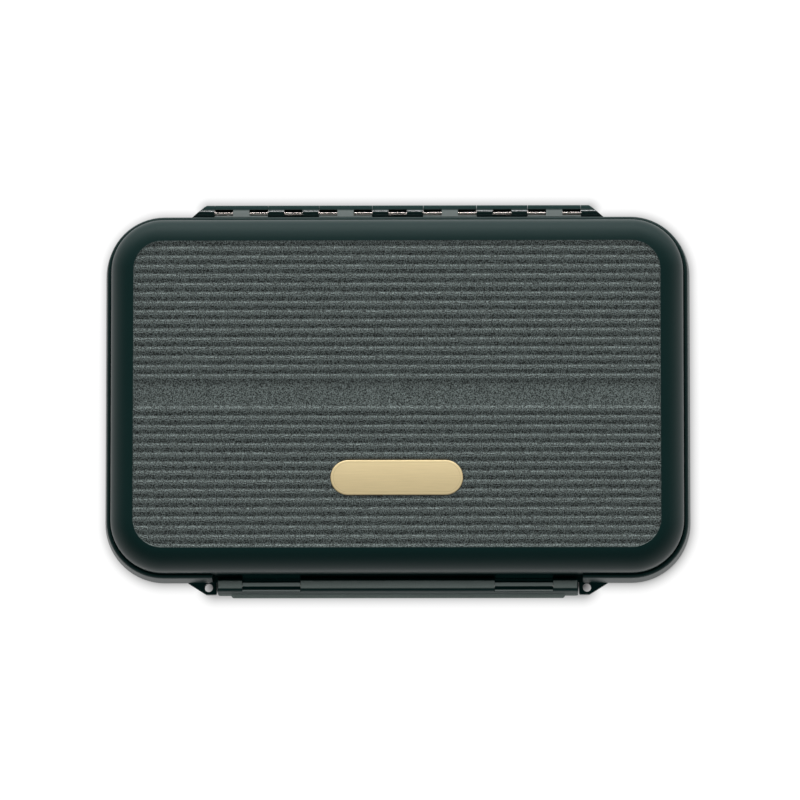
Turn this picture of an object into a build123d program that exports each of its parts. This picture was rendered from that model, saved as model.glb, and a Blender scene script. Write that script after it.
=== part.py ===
"""Waterproof fly box: two moulded half shells on a rear pin hinge, closed by a front snap latch.

A sealing ring sits in the base rim, and each half holds an insert tray with rows of slit foam.
Frame: +X to the right, -Y to the front where the latch is, +Z up, in millimetres.
The origin is the centre of the plane that the closed box rests on.
"""

import os
from math import atan2, cos, degrees, radians, sin, tan

from build123d import *

# ---- Case: the outline at the parting line, and the height of the closed box ----
rim_width = 154.0
rim_depth = 96.7
rim_corner = 15.7
case_height = 37.0
rim_height = 8.0  # the band next to the parting line, on each half
rim_gap = 0.2  # what the seal leaves open between the two rims
rim_draft = 5.5  # degrees from upright
rim_edge_radius = 0.75
seam_edge_radius = 0.25
crown_inset = 2.05  # from the rim's outline to the crown's upright wall
crown_radius = 6.0
shadow_gap = 0.45  # the moulded groove between rim and crown
shadow_depth = 1.0

# ---- Walls and the space inside ----
wall = 2.4
top_wall = 2.2
cavity_draft = 1.0
cavity_radius = 2.2

# ---- Ribbed panel on each large face ----
frame_width = 6.1  # the smooth border between the crown's wall and the panel
rib_pitch = 2.395
ribs_per_side = 16  # on each side of the plain band, the outermost cut in half by the panel's edge
rib_crest = 0.7
rib_depth = 0.5
rib_groove = 0.12  # the floor left between two ribs
rib_round = 0.18
panel_drop = 0.1  # the crests lie this far under the smooth border
panel_edge_angle = 30.0

# ---- Name plate set into the lid ----
plate_length = 34.6
plate_width = 9.2
plate_thickness = 1.0
plate_proud = 0.1  # how far it stands above the crests
plate_offset = 22.0  # from the panel's centre line towards the latch
plate_gap = 0.1
plate_edge = 0.35

# ---- Hinge ----
hinge_offset = 1.2  # the pin's axis lies this far behind the rim, on the parting plane
barrel_radius = 2.1
hinge_pin_radius = 0.7
pin_clearance = 0.05
knuckle_pitch = 9.18
knuckle_length = 4.3
window_width = 1.7
running_gap = 0.1
hinge_end_length = 5.9  # each outer block, measured at the rim
hinge_end_slant = 3.9  # how much shorter the bar is at its back
hinge_web_slope = 14.0  # degrees, from the barrel up to the rim
notch_gap = 0.3
pin_recess = 0.4

# ---- Seal ----
seal_land = 0.5  # wall left between the cavity and the seal's groove
groove_width = 1.3
groove_depth = 1.4
seal_height = 1.0
seal_side_gap = 0.05
seal_round = 0.3
bead_width = 0.7
bead_gap = 0.1

# ---- Latch ----
latch_offset = 0.6  # the latch pin's axis lies this far in front of the rim
latch_rise = 2.2  # and this far above the parting plane
latch_barrel_radius = 1.75
latch_pin_radius = 0.5
latch_length = 94.8
latch_pin_recess = 0.8
latch_drop = 9.4
latch_flare = 2.3  # how far the plate's foot stands out from the pin's axis
latch_thickness = 1.5
lip_length = 88.0
lip_reach = 0.65
lip_height = 2.2
lip_round = 0.7
lip_edge = 0.4
latch_corner = 1.0
lug_inner = 25.5
lug_length = 15.3
lug_groove_width = 0.8
lug_groove_offset = 0.95
lug_groove_depth = 1.0
lug_web_thickness = 1.4
lug_gap = 0.3
pocket_half_length = 48.6
catch_reach = 1.9
catch_height = 2.0
catch_drop = 0.2  # the catch ledge starts this far under the parting plane
hook_length = 48.0
hook_gap = 0.2
hook_bite = 1.0
hook_height = 1.6
hook_nose = 0.5

# ---- Lanyard ears on the base, one beyond each end of the latch ----
ear_gap = 0.3
ear_tip = 2.7
ear_root = 7.5
ear_reach = 3.0
ear_thickness = 3.0
ear_drop = 0.2
lanyard_hole_radius = 1.1
lanyard_hole_inset = 2.05
lanyard_rim_gap = 0.1
ear_round = 0.4

# ---- Foam rows and their trays ----
foam_rows = 6
tray_gap = 0.6  # between the tray and the rounded edge of the cavity's floor
tray_rib = 1.2
tray_floor = 1.2
tray_height = 4.2
tray_border = 1.6
tray_end_border = 4.4
foam_height = 7.0
foam_foot_height = 2.6
foam_bevel = 2.4  # how much narrower the crest is than the foot, on each side
foam_gap = 0.15
foam_round = 1.2

# ---- Worked out from the above ----
parting = case_height / 2
parting_plane = Plane.XY.offset(parting)
half_height = parting - rim_gap / 2
lid_seam = parting + rim_gap / 2
base_seam = parting - rim_gap / 2
half_depth = rim_depth / 2
crown_width = rim_width - 2 * crown_inset
crown_depth = rim_depth - 2 * crown_inset
crown_corner = rim_corner - crown_inset
cavity_width = crown_width - 2 * wall
cavity_depth = crown_depth - 2 * wall
floor = top_wall
panel_width = crown_width - 2 * frame_width
panel_corner = crown_corner - frame_width
panel_half_depth = crown_depth / 2 - frame_width
first_rib = panel_half_depth - (ribs_per_side - 1) * rib_pitch
panel_floor = case_height - panel_drop - rib_depth
rib_foot = rib_pitch - rib_groove
rib_slope = degrees(atan2(rib_depth, (rib_foot - rib_crest) / 2))
band_width = 2 * first_rib - rib_pitch
plate_top = case_height - panel_drop + plate_proud
hinge_y = half_depth + hinge_offset
hinge_back = hinge_y + barrel_radius
hinge_root = half_depth - crown_inset
hinge_bore_radius = hinge_pin_radius + pin_clearance
web_end_y = hinge_y + barrel_radius * sin(radians(hinge_web_slope))
web_end_height = barrel_radius * cos(radians(hinge_web_slope))
web_root_height = web_end_height + (web_end_y - hinge_root) * tan(radians(hinge_web_slope))
window_length = knuckle_pitch - knuckle_length
lid_section = knuckle_length + 2 * window_length
base_section = 2 * knuckle_length + window_length
lid_section_centres = [k * knuckle_pitch for k in (-4.5, -1.5, 1.5, 4.5)]
base_section_centres = [k * knuckle_pitch for k in (-3, 0, 3)]
window_centres = [k * knuckle_pitch for k in range(-5, 6)]
hinge_end_start = lid_section_centres[-1] + (lid_section + running_gap) / 2
hinge_end = hinge_end_start + hinge_end_length
end_slope = hinge_end_slant / (hinge_back - half_depth)
hinge_pin_end = hinge_end - end_slope * (hinge_offset + hinge_pin_radius) - pin_recess
groove_centre = seal_land + groove_width / 2  # from the cavity's edge
seal_top = base_seam - groove_depth + seal_height
latch_y = -half_depth - latch_offset
latch_z = parting + latch_rise
latch_bore_radius = latch_pin_radius + pin_clearance
latch_pin_end = latch_length / 2 - latch_pin_recess
foot_y = latch_y - latch_flare
foot_z = latch_z - latch_drop
pocket_wall = -crown_depth / 2
lug_centre = lug_inner + lug_length / 2
catch_front = pocket_wall - catch_reach
catch_top = parting - catch_drop
hook_top = catch_top - catch_height - hook_gap
hook_tip = catch_front + hook_bite
ear_top = parting - ear_drop
ear_inner = latch_length / 2 + ear_gap
lanyard_x = ear_inner + lanyard_hole_inset
lanyard_y = -half_depth - lanyard_rim_gap - lanyard_hole_radius
tray_margin = (half_height - top_wall) * tan(radians(cavity_draft)) + cavity_radius + tray_gap
tray_width = cavity_width - 2 * tray_margin
tray_depth = cavity_depth - 2 * tray_margin
tray_corner = crown_corner - wall - tray_margin
row_pitch = (tray_depth - 2 * tray_border + tray_rib) / foam_rows
foam_slot_width = row_pitch - tray_rib
foam_width = foam_slot_width - 2 * foam_gap
foam_crest_width = foam_width - 2 * foam_bevel
foam_length = tray_width - 2 * tray_end_border - 2 * foam_gap
foam_base = floor + tray_floor

os.makedirs("parts", exist_ok=True)


def save(piece, name):
    """Labels a finished piece and writes it under that name."""
    piece.label = name
    export_step(piece, f"parts/{name}.step")


def case_outline(grow):
    """Adds the crown's outline to a sketch, moved outwards by grow."""
    RectangleRounded(crown_width + 2 * grow, crown_depth + 2 * grow, crown_corner + grow)


def ring(width):
    """Adds to a sketch a band of that width, which runs round the rim in the middle of the seal's groove."""
    case_outline(groove_centre - wall + width / 2)
    RectangleRounded(
        cavity_width + 2 * groove_centre - width,
        cavity_depth + 2 * groove_centre - width,
        crown_corner - wall + groove_centre - width / 2,
        mode=Mode.SUBTRACT,
    )


def along_x(centre_x, y, z):
    """The place of a cylinder that lies along X."""
    return Location((centre_x, y, z), (0, 90, 0))


# ---- The half shell that base and lid share, drawn as the lid's ----
with BuildPart() as rim:
    with BuildSketch(Plane.XY.offset(lid_seam)):
        RectangleRounded(rim_width, rim_depth, rim_corner)
    extrude(amount=rim_height - rim_gap / 2, taper=rim_draft)
    fillet(rim.faces().sort_by(Axis.Z)[-1].edges(), rim_edge_radius)
    fillet(rim.faces().sort_by(Axis.Z)[0].edges(), seam_edge_radius)

with BuildPart() as crown:
    with BuildSketch(Plane.XY.offset(lid_seam)):
        case_outline(0)
    extrude(amount=half_height)
    fillet(crown.faces().sort_by(Axis.Z)[-1].edges(), crown_radius)

with BuildPart() as cavity:
    with BuildSketch(Plane.XY.offset(lid_seam)):
        case_outline(-wall)
    extrude(amount=half_height - top_wall, taper=cavity_draft)
    fillet(cavity.faces().sort_by(Axis.Z)[-1].edges(), cavity_radius)

with BuildPart() as rib_bars:
    with BuildSketch(Plane.YZ.offset(-rim_width / 2)) as rib_profile:
        for side in (-1, 1):
            with Locations([(side * (first_rib + k * rib_pitch), panel_floor) for k in range(ribs_per_side)]):
                Trapezoid(rib_foot, rib_depth, rib_slope, align=(Align.CENTER, Align.MIN))
        fillet(rib_profile.vertices().group_by(Axis.Y)[-1], rib_round)
    extrude(amount=rim_width)

with BuildPart() as panel_recess:
    with BuildSketch(Plane.XY.offset(case_height)):
        RectangleRounded(panel_width, 2 * panel_half_depth, panel_corner)
    extrude(amount=-(panel_drop + rib_depth), taper=panel_edge_angle)
    add(rib_bars.part, mode=Mode.SUBTRACT)

with BuildPart() as half_shell:
    add(rim.part)
    with BuildSketch(Plane.XY.offset(parting + rim_height - shadow_depth)):
        case_outline(shadow_gap)
    extrude(amount=shadow_depth, mode=Mode.SUBTRACT)
    add(crown.part)
    add(cavity.part, mode=Mode.SUBTRACT)
    add(panel_recess.part, mode=Mode.SUBTRACT)
    with BuildSketch(Plane.XY.offset(lid_seam)):
        with Locations((0, pocket_wall - rim_depth / 2)):
            Rectangle(2 * pocket_half_length, rim_depth)
    extrude(amount=case_height, mode=Mode.SUBTRACT)

# ---- Hinge: barrels on both halves, with windows in their tops that show the pin ----


def hinge_web(up):
    """The corners of the web that runs from a barrel into its rim, above the pin (up = 1) or below it (-1)."""
    return [
        (hinge_root, parting + up * rim_gap / 2),
        (hinge_y, parting + up * rim_gap / 2),
        (web_end_y, parting + up * web_end_height),
        (hinge_root, parting + up * web_root_height),
    ]


with BuildPart() as hinge_windows:
    with Locations(along_x(0, hinge_y, parting)):
        Cylinder(hinge_bore_radius, 2 * hinge_end)
    with BuildSketch(parting_plane):
        with Locations([(x, hinge_y) for x in window_centres]):
            Rectangle(window_length, window_width)
    extrude(amount=web_root_height)

with BuildPart() as lid_barrels:
    for centre in lid_section_centres:
        with BuildSketch(Plane.YZ.offset(centre - (lid_section - running_gap) / 2)):
            with Locations((hinge_y, parting)):
                Circle(barrel_radius)
            with BuildLine():
                Polyline(*hinge_web(1), close=True)
            make_face()
        extrude(amount=lid_section - running_gap)
    add(hinge_windows.part, mode=Mode.SUBTRACT)

with BuildPart() as base_barrels:
    for centre in base_section_centres:
        with BuildSketch(Plane.YZ.offset(centre - (base_section - running_gap) / 2)):
            with Locations((hinge_y, parting)):
                Circle(barrel_radius)
            with BuildLine():
                Polyline(*hinge_web(-1), close=True)
            make_face()
        extrude(amount=base_section - running_gap)
    for start in (-hinge_end, hinge_end_start):
        with BuildSketch(Plane.YZ.offset(start)):
            with Locations((hinge_y, parting)):
                Circle(barrel_radius)
            with BuildLine():
                Polyline(*hinge_web(-1), close=True)
            make_face()
        extrude(amount=hinge_end_length)
    with BuildSketch(parting_plane):
        with BuildLine():
            Polyline(
                (-hinge_end, 0),
                (hinge_end, 0),
                (hinge_end, half_depth),
                (hinge_end - hinge_end_slant, hinge_back),
                (-hinge_end + hinge_end_slant, hinge_back),
                (-hinge_end, half_depth),
                close=True,
            )
        make_face()
    extrude(amount=case_height, both=True, mode=Mode.INTERSECT)
    add(hinge_windows.part, mode=Mode.SUBTRACT)

# ---- Base shell ----
with BuildPart() as base_shell:
    mirror(half_shell.part, about=parting_plane)
    for centre in lid_section_centres:
        with Locations(along_x(centre, hinge_y, parting)):
            Cylinder(barrel_radius + notch_gap, lid_section + running_gap, mode=Mode.SUBTRACT)
    add(base_barrels.part)
    with BuildSketch(Plane.XY):
        Rectangle(panel_width - 2 * panel_corner, band_width)
    extrude(amount=top_wall)
    with BuildSketch(Plane.XY.offset(catch_top)):
        with Locations((0, pocket_wall - (catch_reach - wall) / 2)):
            Rectangle(2 * pocket_half_length, catch_reach + wall)
    extrude(amount=-catch_height)
    with BuildSketch(Plane.XY.offset(ear_top)) as ears:
        with BuildLine():
            Polyline(
                (ear_inner, pocket_wall + wall / 2),
                (ear_inner, -half_depth - ear_reach),
                (ear_inner + ear_tip, -half_depth - ear_reach),
                (ear_inner + ear_root, -half_depth),
                (ear_inner + ear_root, pocket_wall + wall / 2),
                close=True,
            )
        make_face()
        fillet(ears.vertices().group_by(Axis.Y)[0], ear_round)
        with Locations((lanyard_x, lanyard_y)):
            Circle(lanyard_hole_radius, mode=Mode.SUBTRACT)
        mirror(about=Plane.YZ)
    extrude(amount=-ear_thickness)
    with BuildSketch(Plane.XY.offset(base_seam)):
        ring(groove_width)
    extrude(amount=-groove_depth, mode=Mode.SUBTRACT)
save(base_shell.part, "base_shell")

# ---- Lid shell ----
with BuildPart() as lid_shell:
    add(half_shell.part)
    for centre in base_section_centres:
        with Locations(along_x(centre, hinge_y, parting)):
            Cylinder(barrel_radius + notch_gap, base_section + running_gap, mode=Mode.SUBTRACT)
    for side in (-1, 1):
        with Locations(along_x(side * (hinge_end_start + hinge_end) / 2, hinge_y, parting)):
            Cylinder(barrel_radius + notch_gap, hinge_end_length + running_gap, mode=Mode.SUBTRACT)
    add(lid_barrels.part)
    for side in (-1, 1):
        with BuildSketch(Plane.YZ.offset(side * lug_centre - (lug_length - running_gap) / 2)):
            with Locations((latch_y, latch_z)):
                Circle(latch_barrel_radius)
            with Locations(((latch_y + pocket_wall) / 2 + wall / 4, latch_z)):
                Rectangle(pocket_wall - latch_y + wall / 2, lug_web_thickness)
            with Locations(
                (latch_y - lug_groove_offset, latch_z + latch_barrel_radius),
                (latch_y + lug_groove_offset, latch_z + latch_barrel_radius),
            ):
                Rectangle(lug_groove_width, 2 * lug_groove_depth, mode=Mode.SUBTRACT)
            with Locations((latch_y, latch_z)):
                Circle(latch_bore_radius, mode=Mode.SUBTRACT)
        extrude(amount=lug_length - running_gap)
    with BuildSketch(Plane.XY.offset(lid_seam)):
        ring(bead_width)
    extrude(amount=-(lid_seam - seal_top - bead_gap))
    with BuildSketch(Plane.XY.offset(plate_top)):
        with Locations((0, -plate_offset)):
            SlotOverall(plate_length + 2 * plate_gap, plate_width + 2 * plate_gap)
    extrude(amount=-plate_thickness, mode=Mode.SUBTRACT)
save(lid_shell.part, "lid_shell")

# ---- Hinge pin and latch pin ----
with BuildPart() as hinge_pin:
    with Locations(along_x(0, hinge_y, parting)):
        Cylinder(hinge_pin_radius, 2 * hinge_pin_end)
save(hinge_pin.part, "hinge_pin")

with BuildPart() as latch_pin:
    with Locations(along_x(0, latch_y, latch_z)):
        Cylinder(latch_pin_radius, 2 * latch_pin_end)
save(latch_pin.part, "latch_pin")

# ---- Latch: a barrel on the lid's lugs, a plate that hangs from it, a finger lip and a hook ----
with BuildPart() as latch:
    with BuildSketch(Plane.YZ.offset(-latch_length / 2)):
        with Locations((latch_y, latch_z)):
            Circle(latch_barrel_radius)
        with BuildLine():
            Polyline(
                (latch_y - latch_barrel_radius, latch_z),
                (foot_y, foot_z),
                (foot_y + latch_thickness, foot_z),
                (latch_y - latch_barrel_radius + latch_thickness, latch_z),
                close=True,
            )
        make_face()
    extrude(amount=latch_length)
    with BuildSketch(Plane.XZ.offset(-latch_y - latch_barrel_radius)):
        with Locations((0, (latch_z + latch_barrel_radius + foot_z) / 2)):
            RectangleRounded(latch_length, latch_z + latch_barrel_radius - foot_z, latch_corner)
    extrude(amount=case_height, both=True, mode=Mode.INTERSECT)
    with BuildSketch(Plane.XY.offset(foot_z)):
        with Locations((0, foot_y + (latch_thickness - lip_reach) / 2)):
            RectangleRounded(lip_length, latch_thickness + lip_reach, lip_round)
    extrude(amount=lip_height)
    fillet(latch.edges().filter_by(Axis.X).group_by(Axis.Y)[0], lip_edge)
    with BuildSketch(Plane.YZ.offset(-hook_length / 2)):
        with BuildLine():
            Polyline(
                (foot_y + latch_thickness / 2, hook_top),
                (hook_tip, hook_top),
                (hook_tip, hook_top - hook_nose),
                (foot_y + latch_thickness / 2, hook_top - hook_height),
                close=True,
            )
        make_face()
    extrude(amount=hook_length)
    for side in (-1, 1):
        with Locations(along_x(side * lug_centre, latch_y, latch_z)):
            Cylinder(latch_barrel_radius + lug_gap, lug_length + running_gap, mode=Mode.SUBTRACT)
    with Locations(along_x(0, latch_y, latch_z)):
        Cylinder(latch_bore_radius, latch_length, mode=Mode.SUBTRACT)
save(latch.part, "latch")

# ---- Seal in the base's groove ----
with BuildPart() as seal:
    with BuildSketch(Plane.XY.offset(base_seam - groove_depth)):
        ring(groove_width - 2 * seal_side_gap)
    extrude(amount=seal_height)
    fillet(seal.faces().sort_by(Axis.Z)[-1].edges(), seal_round)
save(seal.part, "seal")

# ---- Name plate, bare ----
with BuildPart() as name_plate:
    with BuildSketch(Plane.XY.offset(plate_top)):
        with Locations((0, -plate_offset)):
            SlotOverall(plate_length, plate_width)
    extrude(amount=-plate_thickness)
    fillet(name_plate.faces().sort_by(Axis.Z)[-1].edges(), plate_edge)
save(name_plate.part, "name_plate")

# ---- Foam trays, one on the floor of each half ----
with BuildPart() as base_tray:
    with BuildSketch(Plane.XY.offset(floor)):
        RectangleRounded(tray_width, tray_depth, tray_corner)
    extrude(amount=tray_height)
    with BuildSketch(Plane.XY.offset(foam_base)):
        with GridLocations(0, row_pitch, 1, foam_rows):
            Rectangle(foam_length + 2 * foam_gap, foam_slot_width)
    extrude(amount=tray_height, mode=Mode.SUBTRACT)
save(base_tray.part, "base_tray")

with BuildPart() as lid_tray:
    mirror(base_tray.part, about=parting_plane)
save(lid_tray.part, "lid_tray")

# ---- Foam rows: a foot that sits between the tray's ribs, and a crest that the hooks go into ----
for k in range(foam_rows):
    row_y = (k - (foam_rows - 1) / 2) * row_pitch
    with BuildPart() as base_foam:
        with BuildSketch(Plane.YZ.offset(-foam_length / 2)) as foam_profile:
            with BuildLine():
                Polyline(
                    (row_y - foam_width / 2, foam_base),
                    (row_y + foam_width / 2, foam_base),
                    (row_y + foam_width / 2, foam_base + foam_foot_height),
                    (row_y + foam_crest_width / 2, foam_base + foam_height),
                    (row_y - foam_crest_width / 2, foam_base + foam_height),
                    (row_y - foam_width / 2, foam_base + foam_foot_height),
                    close=True,
                )
            make_face()
            fillet(foam_profile.vertices().group_by(Axis.Y)[-1], foam_round)
        extrude(amount=foam_length)
    save(base_foam.part, f"base_foam_{k + 1}")
    with BuildPart() as lid_foam:
        mirror(base_foam.part, about=parting_plane)
    save(lid_foam.part, f"lid_foam_{k + 1}")
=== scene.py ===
# %% [markdown]
# # A waterproof fly box, dressed for its portrait
#
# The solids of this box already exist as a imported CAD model: two shells on a hinge wire, a latch,
# a seal, a name plate, and trays with foam. This lesson gives each of them the surface of the real
# thing, swaps the plain foam blocks for slit foam, and sets up a studio. Nothing that the CAD model
# made is moved, so the box still opens about its real hinge.

# %% Load the frame and measure it
import math

import bpy
from mathutils import Matrix, Vector


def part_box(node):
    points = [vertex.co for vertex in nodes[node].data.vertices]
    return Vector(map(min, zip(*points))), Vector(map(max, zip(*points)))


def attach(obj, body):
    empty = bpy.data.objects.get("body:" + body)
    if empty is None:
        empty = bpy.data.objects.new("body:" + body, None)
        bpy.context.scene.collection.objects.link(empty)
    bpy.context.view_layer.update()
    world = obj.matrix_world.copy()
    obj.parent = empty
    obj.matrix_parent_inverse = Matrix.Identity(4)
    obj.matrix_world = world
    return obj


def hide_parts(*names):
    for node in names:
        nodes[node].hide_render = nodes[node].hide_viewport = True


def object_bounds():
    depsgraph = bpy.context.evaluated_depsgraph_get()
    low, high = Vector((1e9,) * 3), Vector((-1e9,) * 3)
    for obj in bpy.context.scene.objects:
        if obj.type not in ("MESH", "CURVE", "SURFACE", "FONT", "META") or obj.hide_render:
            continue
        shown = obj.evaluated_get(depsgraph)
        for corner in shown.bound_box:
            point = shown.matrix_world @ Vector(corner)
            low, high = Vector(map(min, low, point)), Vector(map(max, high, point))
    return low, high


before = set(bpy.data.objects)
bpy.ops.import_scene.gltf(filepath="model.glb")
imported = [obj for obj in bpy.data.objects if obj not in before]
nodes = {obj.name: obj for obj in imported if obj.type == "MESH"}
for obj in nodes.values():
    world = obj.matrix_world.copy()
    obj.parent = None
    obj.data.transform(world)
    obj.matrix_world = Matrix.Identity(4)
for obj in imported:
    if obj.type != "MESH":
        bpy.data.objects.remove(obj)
cad_low, cad_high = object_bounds()
print("nodes:", len(nodes), "box in mm:", [round(1000 * size, 2) for size in cad_high - cad_low])

# %% [markdown]
# ## Sizes
#
# Blender works in metres here, in the CAD model's own frame: +X runs along the hinge, -Y is the
# latch side and +Z is up. A piece that is fitted to a node takes its place from that node's box.
# A size that a box can't tell, such as where the ribbed panel ends inside the lid, is named once,
# in millimetres, here or in the cell that uses it.

# %% Named sizes
MM = 0.001

case_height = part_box("lid_shell")[1].z
parting_height = case_height / 2
rim_depth = 96.7 * MM
panel_size = (137.7 * MM, 80.4 * MM)
panel_corner = 7.55 * MM
panel_depth = 1.2 * MM
plain_band_half = 3.5 * MM
print("case height:", round(case_height / MM, 2), "parting at", round(parting_height / MM, 2))

# %% [markdown]
# ## Node trees as Python
#
# A procedural finish is mostly arithmetic on positions: how far from the panel's edge, how deep in
# a groove. Node trees hide that arithmetic in dozens of Math boxes. A small class that wraps a
# socket and overloads the operators lets each finish be written as the formula that it is. Every
# other node comes from one method, which sets the node's options first and then its inputs. The
# same method serves materials, the world and Geometry Nodes, because all three are node trees.

# %% A socket that can be calculated with


class Wire:
    """An output socket, with Python's operators for Math nodes."""

    def __init__(self, tree, socket):
        self.tree = tree
        self.socket = socket

    def maths(self, operation, *values, clamp=False):
        settings = {"operation": operation, "use_clamp": clamp}
        return self.tree.node("ShaderNodeMath", settings, dict(enumerate(values)))

    def __add__(self, other):
        return self.maths("ADD", self, other)

    def __sub__(self, other):
        return self.maths("SUBTRACT", self, other)

    def __rsub__(self, other):
        return self.maths("SUBTRACT", other, self)

    def __mul__(self, other):
        return self.maths("MULTIPLY", self, other)

    def __truediv__(self, other):
        return self.maths("DIVIDE", self, other)

    def __abs__(self):
        return self.maths("ABSOLUTE", self)

    __radd__ = __add__
    __rmul__ = __mul__

    def at_least(self, other):
        return self.maths("MAXIMUM", self, other)

    def at_most(self, other):
        return self.maths("MINIMUM", self, other)

    def power(self, other):
        return self.maths("POWER", self, other)

    def clamped(self):
        return self.maths("ADD", self, 0.0, clamp=True)

    def ramp(self, width):
        """0 where the value is below 0, 1 where it is above the width, and a slope between."""
        return (self / width).clamped()

    def output(self, name):
        """Another output of the node that this socket is on."""
        return Wire(self.tree, self.socket.node.outputs[name])


# %% A tree that makes its nodes by one method


class Tree:
    """A node tree of any kind, emptied and ready to be written in Python."""

    def __init__(self, node_tree):
        self.nodes = node_tree.nodes
        self.links = node_tree.links
        self.nodes.clear()

    def node(self, kind, settings=None, inputs=None, output=0):
        """Makes a node: its settings first, then the values or wires of its sockets."""
        made = self.nodes.new(kind)
        for key, value in (settings or {}).items():
            setattr(made, key, value)
        for key, value in (inputs or {}).items():
            for wire in value if isinstance(value, list) else [value]:
                if isinstance(wire, Wire):
                    self.links.new(wire.socket, made.inputs[key])
                elif made.inputs[key].type == "RGBA":
                    made.inputs[key].default_value = (*wire, 1.0)
                else:
                    made.inputs[key].default_value = wire
        return Wire(self, made.outputs[output]) if made.outputs else None


# %% A material that is written as a formula


class Finish(Tree):
    """A material. Its patterns read Object coordinates, so they stay put when the box opens."""

    def __init__(self, name):
        self.material = bpy.data.materials.new(name)
        self.material.use_nodes = True
        super().__init__(self.material.node_tree)
        self.place = self.node("ShaderNodeTexCoord", output="Object")

    def axes(self, names="XYZ"):
        """The place's coordinates of those names."""
        split = self.node("ShaderNodeSeparateXYZ", inputs={0: self.place})
        return [split.output(name) for name in names]

    def stretched(self, scale):
        """The place, stretched along the axes, for a pattern that is longer one way."""
        return self.node("ShaderNodeMapping", inputs={"Vector": self.place, "Scale": scale})

    def noise(self, size, place=None, detail=2.0, roughness=0.5):
        """Noise around 0.5 with spots of about that size, in metres."""
        inputs = {"Scale": 1 / size, "Detail": detail, "Roughness": roughness}
        inputs["Vector"] = place or self.place
        return self.node("ShaderNodeTexNoise", inputs=inputs)

    def blend(self, factor, first, second):
        """A colour that goes from the first to the second as the factor goes from 0 to 1."""
        inputs = {0: factor, 6: first, 7: second}
        return self.node("ShaderNodeMix", {"data_type": "RGBA"}, inputs, output=2)

    def tinted(self, colour, amount):
        """A colour made lighter or darker by a number."""
        inputs = {0: colour, "Scale": amount}
        return self.node("ShaderNodeVectorMath", {"operation": "SCALE"}, inputs)

    def bump(self, height, depth):
        """A normal for a relief that is depth metres high."""
        inputs = {"Height": height, "Distance": depth}
        return self.node("ShaderNodeBump", inputs=inputs, output="Normal")

    def rounded_rectangle(self, x, y, width, depth, corner):
        """How far a place is outside a rounded rectangle about the origin, negative inside it."""
        out_x = (abs(x) - (width / 2 - corner)).at_least(0.0)
        out_y = (abs(y) - (depth / 2 - corner)).at_least(0.0)
        return (out_x * out_x + out_y * out_y).power(0.5) - corner

    def surface(self, **sockets):
        """Ends the tree in a Principled surface. Names are its sockets, with _ for a space."""
        inputs = {key.replace("_", " "): value for key, value in sockets.items()}
        shader = self.node("ShaderNodeBsdfPrincipled", inputs=inputs)
        self.node("ShaderNodeOutputMaterial", inputs={"Surface": shader})
        return self.material


def dress(node_name, material):
    """Gives a CAD node its finish."""
    piece = nodes[node_name]
    piece.data.materials.clear()
    piece.data.materials.append(material)
    print(node_name, "wears", material.name)


# %% [markdown]
# ## The camera
#
# The box lies flat and is seen almost straight from above, from a little towards the latch and an
# inch to the right, through a long lens. A long lens far away keeps opposite sides nearly parallel,
# which is how such a catalogue portrait is taken. The lens follows from the width that should fill
# the picture. The camera is turned by hand rather than by a tracking helper, because a helper keeps
# world Z upright and would roll a camera that looks almost straight down.

# %% Place the camera
view_elevation = math.radians(84.6)
view_distance = 1740 * MM
view_width = 210.9 * MM
view_target = Vector((0.58 * MM, 0.0, parting_height))
view_side = 26 * MM

camera_data = bpy.data.cameras.new("camera")
camera_data.sensor_width = 36.0
camera_data.lens = camera_data.sensor_width * view_distance / view_width
camera_data.clip_start = 0.1
camera_data.clip_end = 10.0
camera = bpy.data.objects.new("camera", camera_data)
bpy.context.scene.collection.objects.link(camera)
view_back = view_distance * math.cos(view_elevation)
view_height = view_distance * math.sin(view_elevation)
from_target = Vector((view_side, -view_back, view_height))
camera.location = view_target + from_target
backwards = from_target.normalized()
rightwards = Vector((0.0, 1.0, 0.0)).cross(backwards).normalized()
upwards = backwards.cross(rightwards)
camera.rotation_euler = Matrix((rightwards, upwards, backwards)).transposed().to_euler()
bpy.context.scene.camera = camera
print("lens in mm:", round(camera_data.lens, 1))

# %% [markdown]
# ## Green shell plastic
#
# Both shells come out of one kind of mould. Its border is polished to a satin. The ribbed panel is
# spark-eroded, which prints a fine sandy grain that scatters the light, so the same pigment looks
# almost black on the border and grey-green on the panel. Two materials with a seam between them
# would need the mesh to be split. One material with masks keeps the piece whole. The panel's mask
# is the distance to a rounded rectangle, the same outline that the panel has in the mould. The
# grain is a little weaker on the plain band between the ribs. It stays on the panel, because on the
# small knuckles it would only look like noise.
#
# The joints get masks of their own. The lid's hinge knuckles and latch lugs wear the panel's sand
# and are made paler still than the panel, a painted highlight. The groove along each lug is left as
# dark as the satin border, a painted shade in the groove. The base's knuckles are polished by their
# mould, which a clear coat gives, and the flank behind them is left as rough as the tool left it.
# Each mask starts at a line, some distance from the box's middle, and rises over a few tenths of a
# millimetre, because nothing that is moulded has a perfectly sharp border.

# %% The shells' colours, gloss and grain
satin_green = (0.0006, 0.0132, 0.0124)
sandy_green = (0.074, 0.089, 0.086)
plastic_gloss = 0.25
satin_roughness = 0.44
roughness_of_sand = 0.31
grain_size = 0.30 * MM
grain_relief = 0.05 * MM
panel_contrast = 7.4
band_contrast = 5.7
darkest_grain = 0.15
# painted highlight: how much paler than the panel the lid's knuckles and lugs are made
hinge_painted_highlight = 0.45
lugs_painted_highlight = 1.3

# %% The joints' places on the shells, and how soft each mask's border is
hinge_top = (48.35 * MM, 50.35 * MM)
lug_front = 48.45 * MM
lug_groove = 49.9 * MM
lug_groove_half = 0.42 * MM
crisp_edge = 0.1 * MM
panel_edge = 0.12 * MM
groove_edge = 0.06 * MM
hinge_edge = 0.3 * MM
band_edge = 0.5 * MM

# %% Make the shell plastic


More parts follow.
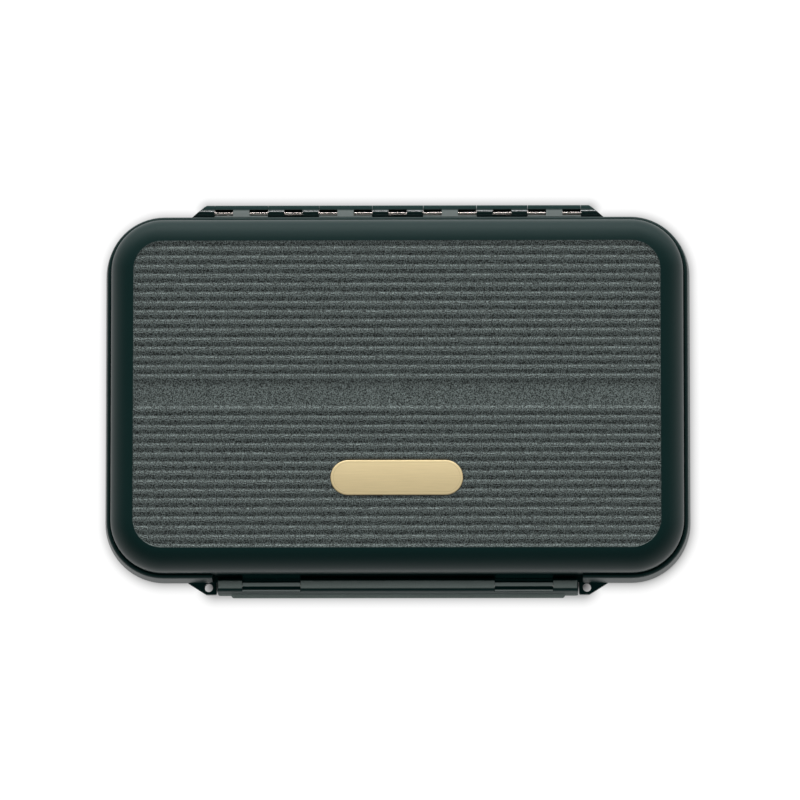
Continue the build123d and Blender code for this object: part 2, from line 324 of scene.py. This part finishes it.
def shell_plastic(name, joint_sand, hinge_polish):
    finish = Finish(name)
    x, y, z = finish.axes()
    outside = finish.rounded_rectangle(x, y, *panel_size, panel_corner)
    near_face = (abs(z - parting_height) - (parting_height - panel_depth)).ramp(crisp_edge)
    panel = (0.5 - outside / panel_edge).clamped() * near_face
    plain_band = (plain_band_half - abs(y)).ramp(band_edge)
    hinge = (y - hinge_top[0]).ramp(crisp_edge) * (hinge_top[1] - y).ramp(hinge_edge)
    flank = (y - hinge_top[1]).ramp(hinge_edge)
    # the groove along each lug stays satin dark: a painted shade in the groove
    outside_painted_groove_shade = (abs(y + lug_groove) - lug_groove_half).ramp(groove_edge)
    lugs = (-lug_front - y).ramp(crisp_edge) * outside_painted_groove_shade
    sandy = panel + joint_sand * (hinge + lugs)

    grain = finish.noise(grain_size, detail=1.0, roughness=0.6)
    contrast = panel_contrast - (panel_contrast - band_contrast) * plain_band
    # painted highlight on the lid's knuckles and lugs, added to the grain's tone
    painted_highlight = joint_sand * (hinge_painted_highlight * hinge + lugs_painted_highlight * lugs)
    shade = ((grain - 0.5) * contrast * panel + 1.0 + painted_highlight).at_least(darkest_grain)
    mottle = finish.noise(30 * MM, detail=2.0)
    return finish.surface(
        Base_Color=finish.blend(sandy, satin_green, finish.tinted(sandy_green, shade)),
        Roughness=satin_roughness + 0.04 * mottle + roughness_of_sand * (sandy + flank),
        Specular_IOR_Level=plastic_gloss,
        Coat_Weight=hinge_polish * hinge,
        Coat_Roughness=0.16,
        Coat_IOR=1.9,
        Normal=finish.bump(grain * panel, grain_relief),
    )


dress("base_shell", shell_plastic("green_shell_base", joint_sand=0.0, hinge_polish=1.0))
dress("lid_shell", shell_plastic("green_shell_lid", joint_sand=1.0, hinge_polish=0.3))

# %% [markdown]
# ## Latch plastic
#
# The latch is a separate moulding in the same pigment. Two places on it are painted pale, on a matt
# skin that is finer than the panel's sand: the crest of the barrel and the lower edge, a painted
# highlight where light from above falls. The barrel's flank is painted as deep as the shells' satin
# and the plate a little lighter and duller, both painted shade below the barrel. These four zones
# lie one above another, so height alone tells them apart.

# %% Make the latch's plastic
# painted highlight and painted shade: pale green for the lit crest and lip, dark green for the
# plate
highlight_green = (0.160, 0.195, 0.185)
shaded_plate_green = (0.022, 0.038, 0.036)
latch_gloss = 0.05
crest_height = 22.05 * MM
crest_edge = 0.2 * MM
plate_height = 19.8 * MM
plate_edge = 0.4 * MM
lip_highlight_top = 15.0 * MM
lip_highlight_edge = 1.2 * MM
matt_size = 0.35 * MM
matt_relief = 0.012 * MM


def latch_plastic(name):
    finish = Finish(name)
    (z,) = finish.axes("Z")
    # height masks: painted highlight on the crest and lip, painted shade on the flank and plate
    crest = (z - crest_height).ramp(crest_edge)
    plate = (plate_height - z).ramp(plate_edge)
    lip_highlight = (lip_highlight_top - z).ramp(lip_highlight_edge)
    matt_and_highlight = crest + lip_highlight
    mottle = finish.noise(8 * MM, detail=3.0)
    fine = finish.noise(matt_size, detail=2.0)
    painted_highlight_skin = finish.tinted(highlight_green, 0.75 + 0.2 * mottle + 0.3 * fine)
    return finish.surface(
        Base_Color=finish.blend(matt_and_highlight, finish.blend(plate, satin_green, shaded_plate_green), painted_highlight_skin),
        Roughness=0.52 + 0.06 * mottle + 0.15 * matt_and_highlight,
        Specular_IOR_Level=latch_gloss,
        Normal=finish.bump(fine, matt_relief),
    )


dress("latch", latch_plastic("green_latch_plastic"))

# %% [markdown]
# ## Drawn wire and gilt plate
#
# The hinge and latch pins are stainless wire, drawn through a die, which leaves hair lines along
# its length. The name plate is stamped, brushed along its length and gilt. Both are the same idea:
# noise stretched many times one way. The plate's edge is painted dark, a painted shade on its side,
# and its face is very slightly crowned by a bump, so that its tone drifts from one long side to the
# other. The plate stays bare, with only a fine line engraved parallel to its edge. Edge, crown and
# line all come from one number, the distance to the plate's outline.

# %% Make the metals
plate_low, plate_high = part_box("name_plate")
plate_centre = (plate_low + plate_high) / 2
plate_size = plate_high - plate_low
plate_round = plate_size.y / 2 - 0.01 * MM
steel_colour = (0.92, 0.82, 0.77)
gilt_colour = (0.735, 0.595, 0.335)
line_colour = (0.30, 0.22, 0.10)
# painted shade along the plate's edge
edge_shade_colour = (0.16, 0.09, 0.03)
line_inset = 0.75 * MM
line_half = 0.12 * MM
edge_shade_inset = 0.14 * MM
edge_shade_width = 0.10 * MM
crown_rise = 0.28


def drawn_steel(name):
    finish = Finish(name)
    hair_lines = finish.noise(0.12 * MM, finish.stretched((0.02, 1.0, 1.0)))
    roughness = 0.18 + 0.08 * hair_lines
    return finish.surface(Base_Color=steel_colour, Metallic=1.0, Roughness=roughness)


def gilt_plate(name):
    finish = Finish(name)
    x, y = finish.axes("XY")
    half = plate_size.y / 2
    centred_y = y - plate_centre.y
    edge = finish.rounded_rectangle(x, centred_y, plate_size.x, plate_size.y, plate_round)
    engraved = (1 - abs(edge + line_inset) / line_half).clamped()
    # painted shade: the plate's edge is darkened
    edge_shade = (edge + edge_shade_inset).ramp(edge_shade_width)
    from_middle = (edge / half + 1).at_least(0.0)
    crown = crown_rise * (1 - from_middle * from_middle)
    brushing = finish.noise(0.15 * MM, finish.stretched((0.03, 1.0, 1.0)))
    gilt = finish.tinted(gilt_colour, 0.90 + 0.2 * brushing)
    lined = finish.blend(0.3 * engraved, gilt, line_colour)
    return finish.surface(
        Base_Color=finish.blend(0.85 * edge_shade, lined, edge_shade_colour),
        Metallic=0.2,
        Roughness=0.36 + 0.12 * brushing,
        Normal=finish.bump(crown + 0.006 * brushing - 0.02 * engraved, 1 * MM),
    )


steel = drawn_steel("drawn_steel")
dress("hinge_pin", steel)
dress("latch_pin", steel)
dress("name_plate", gilt_plate("gilt_plate"))

# %% [markdown]
# ## Seal and trays
#
# The seal is a silicone cord, dull and a little dusty. The trays are thick sheet, moulded with a
# leather-fine grain. One function makes both, because they differ only in colour and grain.

# %% Make the plain plastics


def moulded(name, colour, roughness, grain, depth):
    finish = Finish(name)
    spots = finish.noise(grain, detail=3.0)
    return finish.surface(
        Base_Color=finish.tinted(colour, 0.7 + 0.6 * spots),
        Roughness=roughness + 0.1 * spots,
        Normal=finish.bump(spots, depth),
    )


seal_black = (0.02, 0.02, 0.02)
tray_grey = (0.035, 0.04, 0.04)
dress("seal", moulded("seal_rubber", seal_black, roughness=0.6, grain=0.5 * MM, depth=0.01 * MM))
tray_plastic = moulded("tray_plastic", tray_grey, roughness=0.5, grain=0.5 * MM, depth=0.03 * MM)
dress("base_tray", tray_plastic)
dress("lid_tray", tray_plastic)

# %% [markdown]
# ## Slit foam
#
# A fly is kept by pushing its hook into a slit, so each foam row is cut across every few
# millimetres. The cuts leave a long comb of soft blocks on one foot. Cutting a block with hundreds
# of booleans is slow and brittle. It is simpler to see the comb as repetition: Geometry Nodes draw
# one block's profile, thicken it, and set it on a grid of points. Each block leans and shrinks a
# little at random, because cut foam never stands quite straight. The foot under each row is the
# same profile idea, once.

# %% Read the foam's place from its nodes
foam_rows = 6
foam_low, foam_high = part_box("base_foam_1")
last_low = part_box(f"base_foam_{foam_rows}")[0]
foam_length = foam_high.x - foam_low.x
foam_width = foam_high.y - foam_low.y
foam_height = foam_high.z - foam_low.z
row_pitch = (last_low.y - foam_low.y) / (foam_rows - 1)
foot_height = 2.6 * MM
crest_inset = 2.4 * MM
slit_pitch = 3.5 * MM
slit_width = 0.45 * MM
blocks_per_row = int(foam_length / slit_pitch)
foot_overlap = 0.02  # of a block's height
weld_distance = 0.001 * MM
print("foam row in mm:", [round(value / MM, 2) for value in (foam_length, foam_width, foam_height)])

# %% Write the tree that makes a half's foam
foam_sizes = {
    "Rows": foam_rows,
    "Row Pitch": row_pitch,
    "Row Length": foam_length,
    "Foot Width": foam_width,
    "Foot Height": foot_height,
    "Crest Width": foam_width - 2 * crest_inset,
    "Crest Height": foam_height - foot_height,
    "Blocks": blocks_per_row,
    "Block Pitch": foam_length / blocks_per_row,
    "Slit Width": slit_width,
    "Crest Round": 1.2 * MM,
    "Foot Round": 0.02 * MM,
    "Lean": math.radians(1.2),
    "Least Size": 0.93,
    "Seed": 7,
}


class Pattern(Tree):
    """A Geometry Nodes tree with named number inputs."""

    def __init__(self, name, sizes):
        self.group = bpy.data.node_groups.new(name, "GeometryNodeTree")
        sockets = self.group.interface
        sockets.new_socket("Geometry", in_out="OUTPUT", socket_type="NodeSocketGeometry")
        for label, value in sizes.items():
            kind = "NodeSocketInt" if isinstance(value, int) else "NodeSocketFloat"
            sockets.new_socket(label, in_out="INPUT", socket_type=kind)
        super().__init__(self.group)
        self.inputs = self.node("NodeGroupInput")

    def __getitem__(self, label):
        return self.inputs.output(label)

    def vector(self, x=0.0, y=0.0, z=0.0):
        return self.node("ShaderNodeCombineXYZ", inputs={"X": x, "Y": y, "Z": z})

    def random(self, least, most, seed):
        """A number for each instance, between the two."""
        inputs = {2: least, 3: most, "Seed": seed}
        return self.node("FunctionNodeRandomValue", {"data_type": "FLOAT"}, inputs, output=1)

    def transformed(self, solid, **how):
        return self.node("GeometryNodeTransform", inputs={"Geometry": solid, **how})

    def copies(self, points, piece, **how):
        inputs = {"Points": points, "Instance": piece, **how}
        return self.node("GeometryNodeInstanceOnPoints", inputs=inputs)

    def quadrilateral(self, mode, **sizes):
        inputs = {key.replace("_", " "): value for key, value in sizes.items()}
        return self.node("GeometryNodeCurvePrimitiveQuadrilateral", {"mode": mode}, inputs)

    def prism(self, outline, length):
        """A closed solid: an outline in the XY plane, thickened along Z about that plane."""
        face = self.node("GeometryNodeFillCurve", {"mode": "NGONS"}, {0: outline})
        along_z = {"Offset": self.vector(z=1.0), "Offset Scale": length}
        wall_inputs = {"Mesh": face, "Individual": False, **along_z}
        walls = self.node("GeometryNodeExtrudeMesh", {"mode": "FACES"}, wall_inputs)
        back = self.node("GeometryNodeFlipFaces", inputs={"Mesh": face})
        solid = self.node("GeometryNodeJoinGeometry", inputs={"Geometry": [walls, back]})
        merging = {"Geometry": solid, "Distance": weld_distance}
        closed = self.node("GeometryNodeMergeByDistance", inputs=merging)
        return self.transformed(closed, Translation=self.vector(z=length * -0.5))

    def laid_along_x(self, solid):
        """Turns a prism so that its length runs along X and the top of its outline points up."""
        turn = (math.radians(90), 0.0, math.radians(90))
        return self.transformed(solid, Rotation=turn)

    def finish_with(self, pieces, material):
        """Joins the pieces and ends the tree in real geometry that wears one material."""
        joined = self.node("GeometryNodeJoinGeometry", inputs={"Geometry": pieces})
        real = self.node("GeometryNodeRealizeInstances", inputs={"Geometry": joined})
        worn = self.node("GeometryNodeSetMaterial", inputs={"Geometry": real, "Material": material})
        self.node("NodeGroupOutput", inputs={"Geometry": worn})
        return self.group


def slit_foam_tree(material):
    foam = Pattern("slit_foam", foam_sizes)

    outline = foam.quadrilateral(
        "TRAPEZOID",
        Bottom_Width=foam["Foot Width"],
        Top_Width=foam["Crest Width"],
        Height=foam["Crest Height"],
        Offset=0.0,
    )
    position = foam.node("GeometryNodeInputPosition")
    height = foam.node("ShaderNodeSeparateXYZ", inputs={0: position}).output("Y")
    corner = height.maths("GREATER_THAN", height, 0.0) * foam["Crest Round"] + foam["Foot Round"]
    rounding = {"Curve": outline, "Count": 3, "Radius": corner}
    softened = foam.node("GeometryNodeFilletCurve", {"mode": "POLY"}, rounding)
    block = foam.laid_along_x(foam.prism(softened, foam["Block Pitch"] - foam["Slit Width"]))

    all_rows = foam["Row Pitch"] * (foam["Rows"] - 1)
    grid = {
        "Size X": foam["Row Length"] - foam["Block Pitch"],
        "Size Y": all_rows,
        "Vertices X": foam["Blocks"],
        "Vertices Y": foam["Rows"],
    }
    places = foam.node("GeometryNodeMeshGrid", inputs=grid)
    lean = foam.vector(y=foam.random(foam["Lean"] * -1, foam["Lean"], foam["Seed"]))
    squeeze = foam.random(foam["Least Size"], 1.0, foam["Seed"] + 1)
    size = foam.vector(1.0, squeeze, squeeze)
    blocks = foam.copies(places, block, Rotation=lean, Scale=size)
    lift = foam.vector(z=foam["Foot Height"] + foam["Crest Height"] * (0.5 - foot_overlap))
    raised = foam.transformed(blocks, Translation=lift)

    foot_face = foam.quadrilateral(
        "RECTANGLE", Width=foam["Foot Width"], Height=foam["Foot Height"]
    )
    foot = foam.laid_along_x(foam.prism(foot_face, foam["Row Length"]))
    row_line = {
        "Count": foam["Rows"],
        "Start Location": foam.vector(y=all_rows * -0.5, z=foam["Foot Height"] * 0.5),
        "Offset": foam.vector(y=foam["Row Pitch"]),
    }
    row_places = foam.node("GeometryNodeMeshLine", {"mode": "OFFSET"}, row_line)
    return foam.finish_with([raised, foam.copies(row_places, foot)], material)


# %% [markdown]
# The foam itself is closed-cell and pale. Its skin is a field of tiny burst cells, so the finish is
# two sizes of noise: cells for the bump, and a slow drift of tone from handling.

# %% Make the foam's finish and both halves


foam_colour = (0.80, 0.79, 0.74)
cell_size = 0.35 * MM
cell_depth = 0.08 * MM


def foam_finish(name):
    finish = Finish(name)
    cells = finish.noise(cell_size, detail=3.0, roughness=0.65)
    handling = finish.noise(14 * MM, detail=2.0)
    tone = 0.80 + 0.14 * cells + 0.18 * handling
    return finish.surface(
        Base_Color=finish.tinted(foam_colour, tone),
        Roughness=0.88,
        Normal=finish.bump(cells, cell_depth),
    )


def set_sizes(modifier, sizes):
    """Sets a Geometry Nodes modifier's inputs by their identifiers, found by their names."""
    for item in modifier.node_group.interface.items_tree:
        if item.item_type == "SOCKET" and item.in_out == "INPUT":
            modifier[item.identifier] = sizes[item.name]


def grow(name, tree, sizes, place):
    """Evaluates a tree once and keeps the result as a plain mesh, moved to its place."""
    seed = bpy.data.objects.new(name + ".seed", bpy.data.meshes.new(name + ".seed"))
    bpy.context.scene.collection.objects.link(seed)
    modifier = seed.modifiers.new("pattern", "NODES")
    modifier.node_group = tree
    set_sizes(modifier, sizes)
    evaluated = seed.evaluated_get(bpy.context.evaluated_depsgraph_get())
    mesh = bpy.data.meshes.new_from_object(evaluated)
    bpy.data.objects.remove(seed)
    mesh.transform(place)
    mesh.name = name
    piece = bpy.data.objects.new(name, mesh)
    bpy.context.scene.collection.objects.link(piece)
    print(name, "has", len(mesh.polygons), "faces")
    return piece


foam_tree = slit_foam_tree(foam_finish("pale_foam"))
base_place = Matrix.Translation((0.0, 0.0, foam_low.z))
turned_over = Matrix.Translation((0.0, 0.0, case_height)) @ Matrix.Rotation(math.pi, 4, "X")
for body, place in (("base", base_place), ("lid", turned_over @ base_place)):
    foam_piece = grow(f"{body}_slit_foam", foam_tree, foam_sizes, place)
    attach(foam_piece, body)
    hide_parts(*[f"{body}_foam_{k + 1}" for k in range(foam_rows)])

# %% [markdown]
# ## The studio
#
# A dark satin moulding shows its form by what it mirrors. In an even tent it would turn grey, so
# the sky above is black and brightens towards the horizon, most of all behind the hinge: the flat
# parts stay deep green and the rounded border lightens towards its edge. The right side gets a
# little more than the left, as a window would give. That smooth sky is a short formula of the
# direction. It also rakes across the ribs from behind, which shows their relief.

# %% The world: dark overhead, bright at the horizon and behind


class Sky(Tree):
    """The world's tree, which reads the direction that is looked in."""

    def __init__(self):
        world = bpy.data.worlds.new("studio")
        world.use_nodes = True
        bpy.context.scene.world = world
        super().__init__(world.node_tree)

    def background(self, horizon, behind, right):
        direction = self.node("ShaderNodeTexCoord", output="Generated")
        split = self.node("ShaderNodeSeparateXYZ", inputs={0: direction})
        x, y, z = (split.output(name) for name in "XYZ")
        low = horizon * (1 - z.at_least(0.0)).power(1.5)
        side = behind * y.at_least(0.0).power(3.0) + right * x.at_least(0.0).power(2.0)
        white = {"Color": (1.0, 1.0, 1.0), "Strength": low + side}
        shade = self.node("ShaderNodeBackground", inputs=white)
        self.node("ShaderNodeOutputWorld", inputs={"Surface": shade})


sky_light = {"horizon": 0.88, "behind": 2.5, "right": 0.12}
Sky().background(**sky_light)
print("sky:", sky_light)

# %% [markdown]
# The floor is white paper. It glows towards the camera and in reflections, so that it reads as
# white without more light on the box. Near the box the glow fades, a painted shadow around the box;
# the real shadow there also shows through it and seats the box on the paper. The fade is a distance
# again, to the outlines of the case, the latch and the hinge, whichever is nearest. The outlines
# are drawn a little larger and further back than the real ones, because the camera leans and sees
# the box's upper edge over the paper. Under the box the paper is given no glow, a painted shadow
# where the hinge's gaps look down on it. Below the latch and the ears, which stand well above the
# paper, this painted shadow darkens more slowly, so the lanyard holes still show some of the paper.

# %% The floor's outlines and glow
floor_reach = 4.0
floor_drop = 0.05 * MM
paper_grey = (0.12, 0.12, 0.12)
# painted shadow around and under the box: the glow at its edge, its reach and its outline's place
painted_shadow_glow = 0.50
far_glow = 0.98
painted_shadow_fade = 3.8 * MM
case_painted_shadow_fade = 1.2 * MM
latch_painted_shadow_fade = 3.0 * MM
painted_shadow_shift = 1.6 * MM
painted_shadow_growth = 0.7 * MM
case_corner = 15 * MM
latch_corner = 3 * MM
hinge_corner = 1 * MM
ear_reach = 4.05 * MM

# %% The floor
floor_signs = [(-1, -1), (1, -1), (1, 1), (-1, 1)]
floor_corners = [(floor_reach * x, floor_reach * y, -floor_drop) for x, y in floor_signs]
floor_mesh = bpy.data.meshes.new("floor")
floor_mesh.from_pydata(floor_corners, [], [(0, 1, 2, 3)])
floor = bpy.data.objects.new("floor", floor_mesh)
bpy.context.scene.collection.objects.link(floor)
print("floor in m:", 2 * floor_reach)


def half_outline(finish, x, y, width, depth, corner):
    """How far a place is outside a shape that reaches from the middle to depth, forward or back."""
    return finish.rounded_rectangle(x, y - depth / 2, width, abs(depth), corner)


def width_of(node_name):
    low_corner, high_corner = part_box(node_name)
    return high_corner.x - low_corner.x


def paper_with_painted_shadow(name):
    finish = Finish(name)
    x, y = finish.axes("XY")
    y = y - painted_shadow_shift
    flap_width = width_of("latch") + 2 * ear_reach
    latch_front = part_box("latch")[0].y
    case = finish.rounded_rectangle(x, y, width_of("lid_shell"), rim_depth, case_corner)
    hinge = half_outline(finish, x, y, width_of("hinge_pin"), cad_high.y, hinge_corner)
    body = case.at_most(hinge) - painted_shadow_growth
    flap = half_outline(finish, x, y, flap_width, latch_front, latch_corner) - painted_shadow_growth
    # painted shadow: the glow fades near the box's outlines and goes out under the box
    outside_painted_shadow = body.at_most(flap).ramp(painted_shadow_fade)
    outside_painted_underside_shadow = (1 + body / case_painted_shadow_fade).clamped().at_most((1 + flap / latch_painted_shadow_fade).clamped())
    glow_with_painted_shadow = (far_glow - (far_glow - painted_shadow_glow) * (1 - outside_painted_shadow).power(2.0)) * outside_painted_underside_shadow
    seen = finish.node("ShaderNodeLightPath", output="Is Camera Ray")
    shown = (seen + seen.output("Is Glossy Ray") + seen.output("Is Transmission Ray")).clamped()
    shine = finish.tinted((1.0, 1.0, 1.0), glow_with_painted_shadow * shown)
    return finish.surface(
        Base_Color=paper_grey,
        Roughness=0.9,
        Emission_Color=shine,
        Emission_Strength=1.0,
    )


floor_mesh.materials.append(paper_with_painted_shadow("paper_with_painted_shadow"))

# %% [markdown]
# Three lamps add what a smooth sky can't. A large one low behind the hinge deepens the ribs, and
# one high in front lifts the latch. Their mirror images would wash out the dark border, so both are
# kept out of reflections, as a photographer's polariser keeps them out. The third, a narrow strip,
# does show in reflections: it gives the polished knuckles and the wire their one crisp highlight.

# %% The lamps


def soft_lamp(name, location, size, power, glossy):
    """A rectangular lamp that looks at the middle of the box."""
    data = bpy.data.lights.new(name, "AREA")
    data.shape = "RECTANGLE"
    data.size, data.size_y = size
    data.energy = power
    lamp = bpy.data.objects.new(name, data)
    lamp.location = location
    towards_box = Vector((0.0, 0.0, parting_height)) - Vector(location)
    lamp.rotation_euler = towards_box.to_track_quat("-Z", "Y").to_euler()
    lamp.visible_glossy = glossy
    bpy.context.scene.collection.objects.link(lamp)
    print(name, "gives", power, "W")


soft_lamp("low_rear_lamp", (0.0, 1.6, 0.48), (2.4, 0.35), 35.0, glossy=False)
soft_lamp("front_lamp", (0.0, -0.5, 1.3), (1.4, 0.5), 6.2, glossy=False)
soft_lamp("strip_lamp", (0.0, 0.70, 1.21), (0.36, 0.10), 1.4, glossy=True)

bpy.context.scene.view_settings.view_transform = "Standard"
